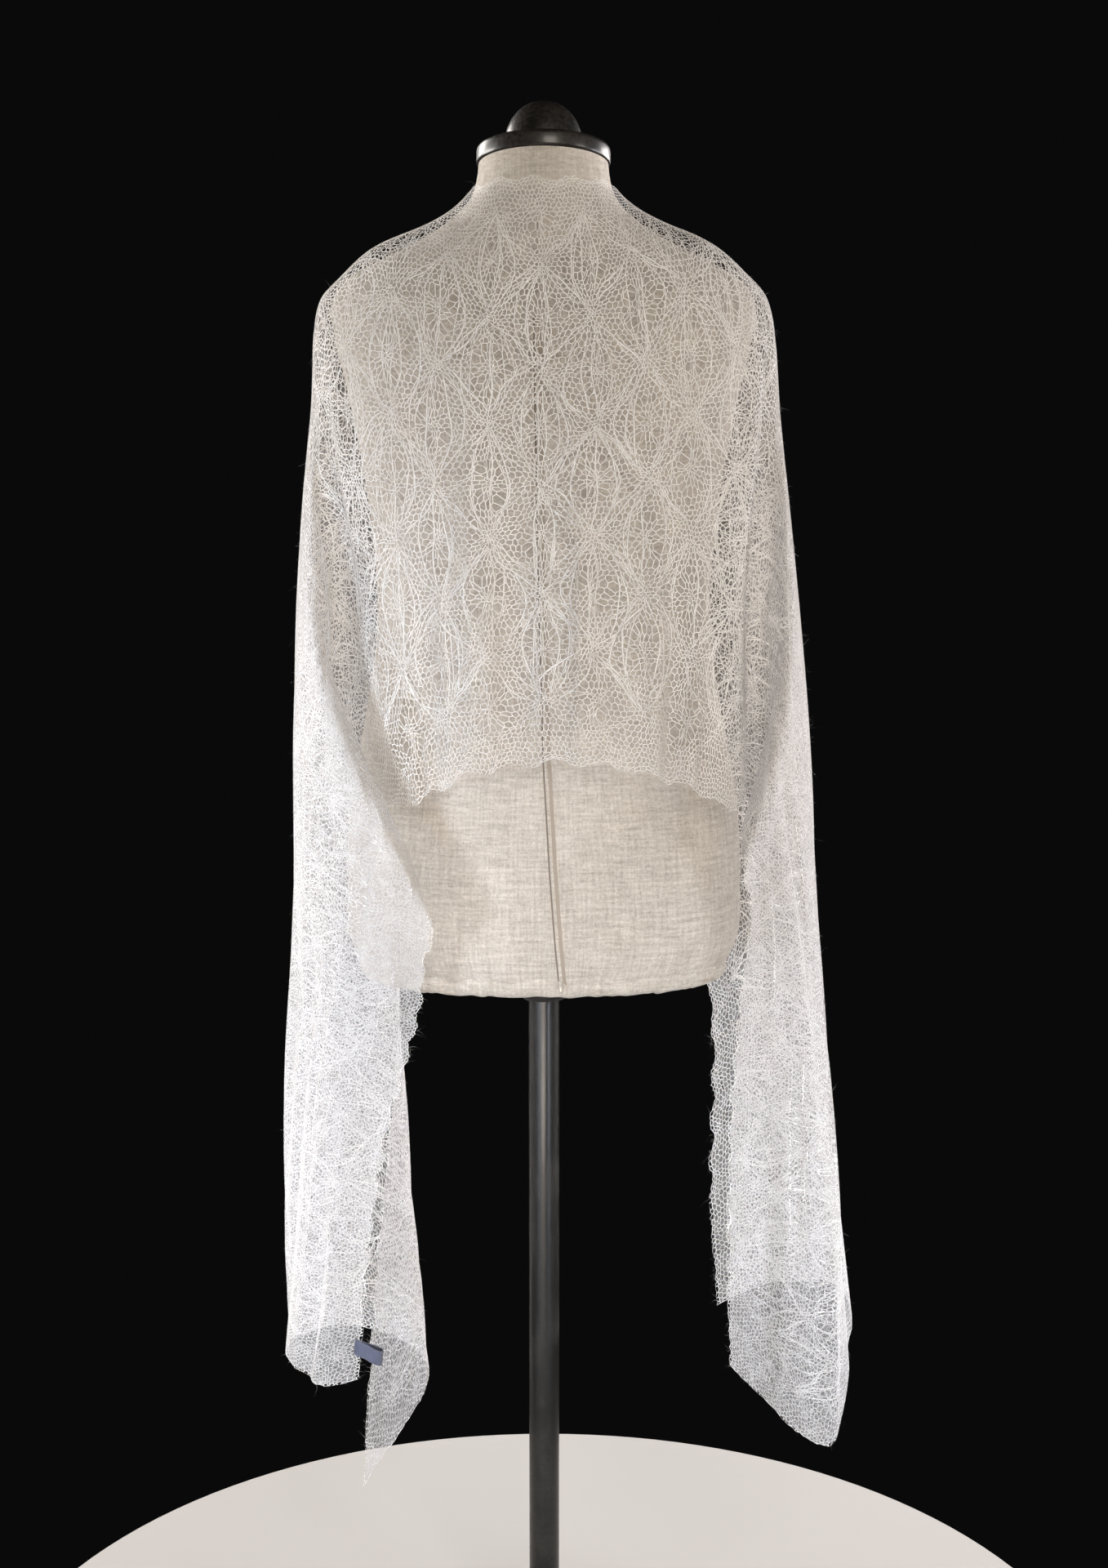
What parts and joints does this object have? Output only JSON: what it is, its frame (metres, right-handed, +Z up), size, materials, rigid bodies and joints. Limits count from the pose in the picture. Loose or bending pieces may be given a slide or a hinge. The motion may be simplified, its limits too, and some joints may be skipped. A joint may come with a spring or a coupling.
{
  "type": "lace shawl on a dress form",
  "caption": "Long knitted lace shawl draped over the shoulders of a limbless dress form on a round-based pole stand.",
  "frame": {"origin": "centre of the stand base's underside", "axes": "+Z up along the pole, -Y towards the back of the dress form, +X to the right when its back is seen"},
  "size_m": [0.5507, 0.3826, 1.5033],
  "materials": {
    "shawl_knit": "brushed white mohair lace knit",
    "label_ribbon": "grey-blue satin ribbon",
    "form_linen": "natural linen weave",
    "stand_black": "black lacquer, satin gloss"
  },
  "bodies": {
    "root": {"shawl_left_fall": "shawl_knit", "shawl_left_shoulder": "shawl_knit", "shawl_back": "shawl_knit", "shawl_right_shoulder": "shawl_knit", "shawl_right_fall": "shawl_knit", "edge_label": "label_ribbon", "form_torso": "form_linen", "form_neck_cap": "stand_black", "stand_base": "stand_black", "stand_pole": "stand_black", "stand_collar": "stand_black"}
  },
  "joints": []
}
